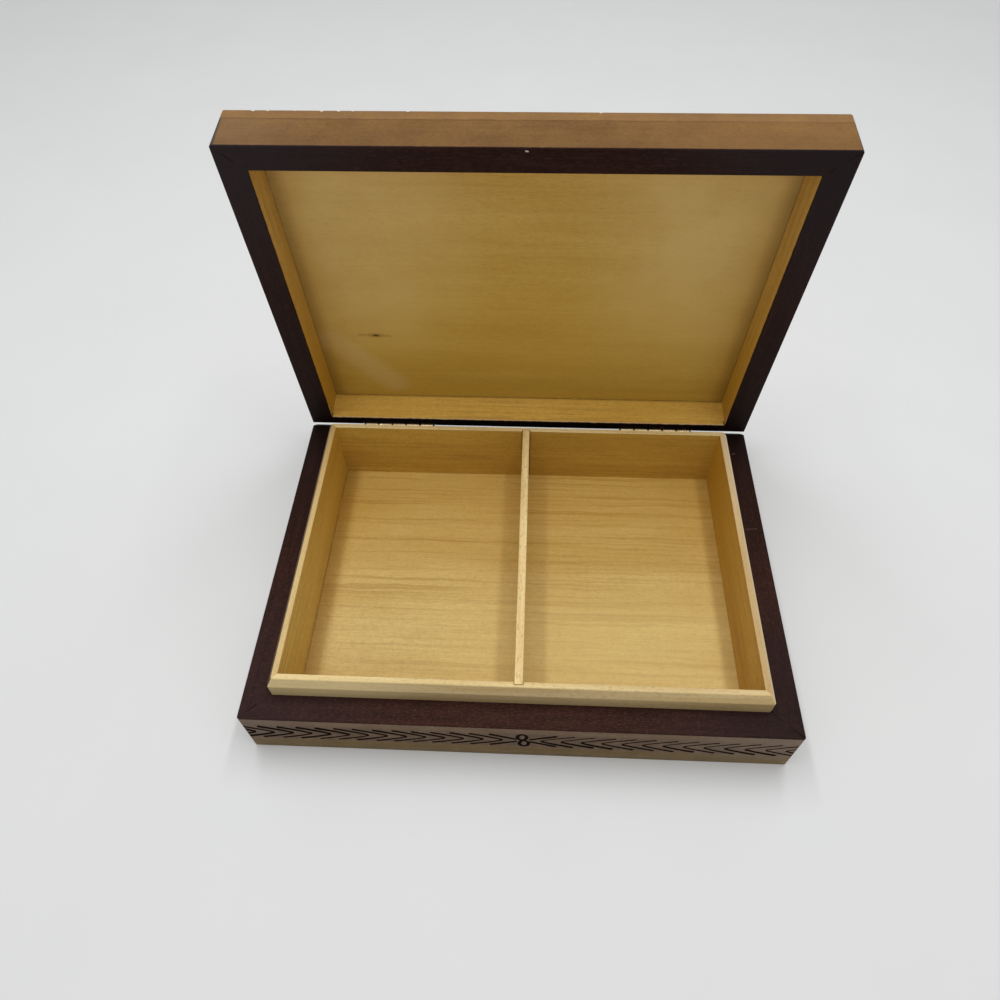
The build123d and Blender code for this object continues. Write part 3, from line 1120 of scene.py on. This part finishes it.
def carve(piece, layers, face, material, degrees=0.0):
    """Take layers of cutters out of a piece. Each cutter is planned on a flat face of the shut box."""
    for layer in layers:
        starts = np.cumsum([0] + [len(cutter.points) for cutter in layer])
        points = np.concatenate([placed(cutter, face).points for cutter in layer])
        quads = np.concatenate([cutter.quads + start for cutter, start in zip(layer, starts)])
        ends = np.concatenate([cutter.ends + start for cutter, start in zip(layer, starts)])
        mesh = bpy.data.meshes.new("cutter")
        mesh.from_pydata((turned(points, degrees) * MM).tolist(), [], quads.tolist() + ends.tolist())
        mesh.materials.append(material)
        with editing(mesh) as shape:
            bmesh.ops.recalc_face_normals(shape, faces=shape.faces)
        tool = put("cutter", mesh)
        cut = piece.modifiers.new("carving", "BOOLEAN")
        cut.operation = "DIFFERENCE"
        cut.solver = "MANIFOLD"
        cut.material_mode = "TRANSFER"
        cut.object = tool
        settle(piece)
        bpy.data.objects.remove(tool)
        bpy.data.meshes.remove(mesh)
    print("carved", piece.name, "in", len(layers), "layers:", len(piece.data.polygons), "faces",
          len(piece.data.materials), "materials")


# %% [markdown]
# A cut in one very long face leaves slender triangles that shade badly, so each board's faces are divided
# at even distances before it is cut.

# %% Carve the front and the ends of the base
wall_strip, panel_square = 5.0, 6.0
front = Face((0, front_face, 0), (1, 0, 0), (0, 0, 1), (0, -1, 0))
left_end = Face((-half_width, box_middle, 0), (0, -1, 0), (0, 0, 1), (-1, 0, 0))
right_end = Face((half_width, box_middle, 0), (0, 1, 0), (0, 0, 1), (1, 0, 0))
for node, face, length, middle in (
    ("base_front_wall", front, 2 * half_width, motif_middle),
    ("base_left_wall", left_end, box_depth, 0.0),
    ("base_right_wall", right_end, box_depth, 0.0),
):
    divide(boards[node], face.across, wall_strip)
    carve(boards[node], band_layers(length, middle), face, paint["base_burnt"])

# %% [markdown]
# The top of the lid can't be seen in the photograph, but small nicks along its front edge show that a
# border of cuts runs there. The border here is the same chevron, smaller, round all four edges, and on the
# left of the front edge single cuts slip over the edge, as the nicks do. Inside it there is a plain frame
# line and, in the middle, a six-petal rosette drawn with compasses, the commonest ornament on such boxes.
# Each edge is a flat face of its own, with height 0 on the edge and up pointing inwards.

# %% The border and the rosette of the lid
border = Pattern(
    height=5.2, fall=0.0, reach=6.4, rise=2.8, past_end=-9.0,
    rows=[Row(towards, 1.5, 5.2, (0.42, 0.42), 0.0) for towards in (-1, 1)],
)


def nick_layer(nicks):
    """Cuts that slip over the front edge, deeper as they near it, each as its place and its depth."""
    return [[stroke((x + 2.4, 4.2), (x - 0.55, -0.95), depth * 1.15, deepening=0.6) for x, depth in nicks]]


rosette = {"arc_points": 33, "arc_share": 0.985, "ray_count": 48, "rays": (4.5, 9.5), "circles": (0, 3)}


def rosette_layers(radius, depth):
    """Six arcs through the centre, each with the circle's radius, inside two circles and a ring of rays.

    An arc about the point M on the circle: M + radius x (cos a, sin a), with a up to 60 degrees to each
    side of the way back to the centre, and its ends just short of the circle.
    """
    layers = []
    for middle in np.arange(6) * tau / 6:
        spread = np.linspace(-pi / 3, pi / 3, rosette["arc_points"]) * rosette["arc_share"]
        turn = middle + pi + spread
        path = np.stack([np.cos(middle) + np.cos(turn), np.sin(middle) + np.sin(turn)], axis=1) * radius
        body = np.full(len(path), depth)
        body[0] = body[-1] = lifted
        layers.append([groove(path, body)])
    rays = []
    for turn in np.arange(rosette["ray_count"]) * tau / rosette["ray_count"]:
        ray = np.array([cos(turn), sin(turn)])
        start, end = [ray * (radius + reach) for reach in rosette["rays"]]
        rays.append(stroke(start, end, depth))
    circles = [ring((0, 0), (radius + gap, radius + gap), depth, 96) for gap in rosette["circles"]]
    return layers + [circles, rays]


def frame_layers(width, height, depth):
    """Four straight cuts along the sides of a rectangle."""
    across, up = width / 2, height / 2
    sides = (-1, 1)
    level = [stroke((-across, side * up), (across, side * up), depth, deepening=0.0) for side in sides]
    upright = [stroke((side * across, -up), (side * across, up), depth, deepening=0.0) for side in sides]
    return [level, upright]


# %% Carve the lid
top_of_lid = Face((0, box_middle, lid_top), (1, 0, 0), (0, 1, 0), (0, 0, 1))
front_edge = Face((0, front_face, lid_top), (1, 0, 0), (0, 1, 0), (0, 0, 1))
edges_of_lid = (
    (front_edge, 2 * half_width),
    (Face((0, back_face, lid_top), (-1, 0, 0), (0, -1, 0), (0, 0, 1)), 2 * half_width),
    (Face((-half_width, box_middle, lid_top), (0, -1, 0), (1, 0, 0), (0, 0, 1)), box_depth),
    (Face((half_width, box_middle, lid_top), (0, 1, 0), (-1, 0, 0), (0, 0, 1)), box_depth),
)
nicks = ((-96.7, 0.95), (-91.5, 0.76), (-82.1, 0.62), (-72.7, 0.9), (-66.8, 0.84), (-61.9, 0.68),
         (-42.8, 0.78), (-7.0, 0.6), (23.2, 0.78))
frame_inset = 10.0
lid_board = boards["lid_panel"]
divide(lid_board, (1, 0, 0), panel_square)
divide(lid_board, turned(pin + (0, 1, 0), -opening) - pin, panel_square)
frame_line = frame_layers(2 * (half_width - frame_inset), box_depth - 2 * frame_inset, 0.4)
designs = [(rosette_layers(36.0, 0.45), top_of_lid), (frame_line, top_of_lid)]
designs += [(chevron_rows(border, length, 0.0), face) for face, length in edges_of_lid]
designs += [(nick_layer(nicks), front_edge)]
for layers, face in designs:
    carve(lid_board, layers, face, paint["lid_burnt"], -opening)

# %% [markdown]
# Where cuts cross, a Boolean can leave faces without area, which would open the mesh later. They are
# dropped last, and then the flat faces are told to shade flat right up to their softened edges.

# %% Finish the boards
for piece in boards.values():
    finish_board(piece)

# %% [markdown]
# ## Solids that keep their shape
#
# The floor panel, the divider and the hinges already have the right shape, so they only get a finish.

# %% Finish the other solids
kept = {"base_panel": "base_panel", "divider": "divider"}
for side in ("left", "right"):
    kept[f"{side}_hinge_pin"] = "steel"
    for half in ("base", "lid"):
        kept[f"{side}_hinge_{half}_leaf"] = "brass"
        kept[f"{side}_hinge_{half}_nails"] = "nails"
for node, name in kept.items():
    paint_mesh(frame["nodes"][node].data, paint[name])
print("kept solids:", len(kept))

# %% [markdown]
# ## The studio
#
# The box stands on a pale table that reaches past every view and keeps the box's soft shadow.

# %% Table
table_size = 8000.0
below_box = 0.05        # so that the table and the underside of the box don't share a plane
corners = np.array([[-1, -1, 0], [1, -1, 0], [1, 1, 0], [-1, 1, 0]]) * table_size / 2
corners[:, 2] = -below_box
table_mesh = bpy.data.meshes.new("table")
table_mesh.from_pydata((corners * MM).tolist(), [], [(0, 1, 2, 3)])
table = put("table", table_mesh)
table_material, table_place = start_material("pale_table")
smudge = speckle(table_place, 60.0)
table_white = blend_colours((225, 226, 226), (221, 222, 222), smudge)
table_finish = Finish(table_white, smudge * 0.1 + 0.6, None)
paint_mesh(table_mesh, close_material(table_material, table_finish, shine=0.2))

# %% [markdown]
# Most of the light comes evenly from a white room. Two long narrow lamps hang over the box, one to the
# left and one to the right, because the photograph shows a band of shade on both sides of the divider. A
# square soft lamp between them gives the box its shadow. The room is dimmer as a light than it looks.

# %% Light
world = bpy.data.worlds.new("white_room")
bpy.context.scene.world = world
world.use_nodes = True
world.node_tree.nodes.clear()
room = Wire(world.node_tree)
seen = [room.node("ShaderNodeLightPath", {}, output=ray)
        for ray in ("Is Camera Ray", "Is Glossy Ray", "Is Transmission Ray")]
seen_directly = seen[0].at_least(seen[1]).at_least(seen[2])
light_level, seen_level = 0.5, 1.0
white = (1.0, 1.0, 1.0, 1.0)
as_light, as_seen = [room.node("ShaderNodeBackground", {"Color": white, "Strength": level})
                     for level in (light_level, seen_level)]
surround = room.node("ShaderNodeMixShader", {0: seen_directly, 1: as_light, 2: as_seen})
surround.node("ShaderNodeOutputWorld", {"Surface": surround})


def lamp(name, place, width, length, power):
    """A flat lamp that looks straight down, with its length from front to back."""
    light = bpy.data.lights.new(name, "AREA")
    light.shape = "RECTANGLE"
    light.size = width
    light.size_y = length
    light.energy = power
    put(name, light).location = place


lamp("left_strip", (-0.29, 0.15, 1.0), width=0.08, length=0.9, power=2.5)
lamp("right_strip", (0.26, 0.15, 1.0), width=0.08, length=0.9, power=2.5)
lamp("soft_box", (0.0, 0.05, 0.85), width=0.5, length=0.5, power=1.35)
print("lamps:", len(bpy.data.lights), "room:", light_level)

# %% [markdown]
# The camera stands where the photographer stood. Its place and its three angles were found from the
# straight edges of the box in the photograph. Its axes follow from the angles: forwards from the turn and
# the downward tilt, then right and down, and last the small roll of the picture about the forward axis.

# %% Camera
camera_place = (0.00192, -0.18859, 0.30942)
tilt_down = 0.9106
turn_left = 0.0605
roll = 0.0222
picture_focus = 0.76548     # focal length as a share of the picture's width
sensor = 36.0

forwards = np.array([-sin(turn_left) * cos(tilt_down), cos(turn_left) * cos(tilt_down), -sin(tilt_down)])
level_right = np.array([cos(turn_left), sin(turn_left), 0.0])
down = np.cross(forwards, level_right)
right = cos(roll) * level_right + sin(roll) * down
down = cos(roll) * down - sin(roll) * level_right
pose = np.eye(4)
pose[:3, 0] = right
pose[:3, 1] = -down
pose[:3, 2] = -forwards
pose[:3, 3] = camera_place
lens = bpy.data.cameras.new("camera")
lens.sensor_width = sensor
lens.lens = picture_focus * sensor
lens.clip_start = 0.01
lens.clip_end = 50.0
camera = put("camera", lens)
camera.matrix_world = Matrix(pose.tolist())
bpy.context.scene.camera = camera
print("camera", camera_place, "lens", round(lens.lens, 2), "mm")
bpy.context.scene.view_settings.view_transform = "Standard"
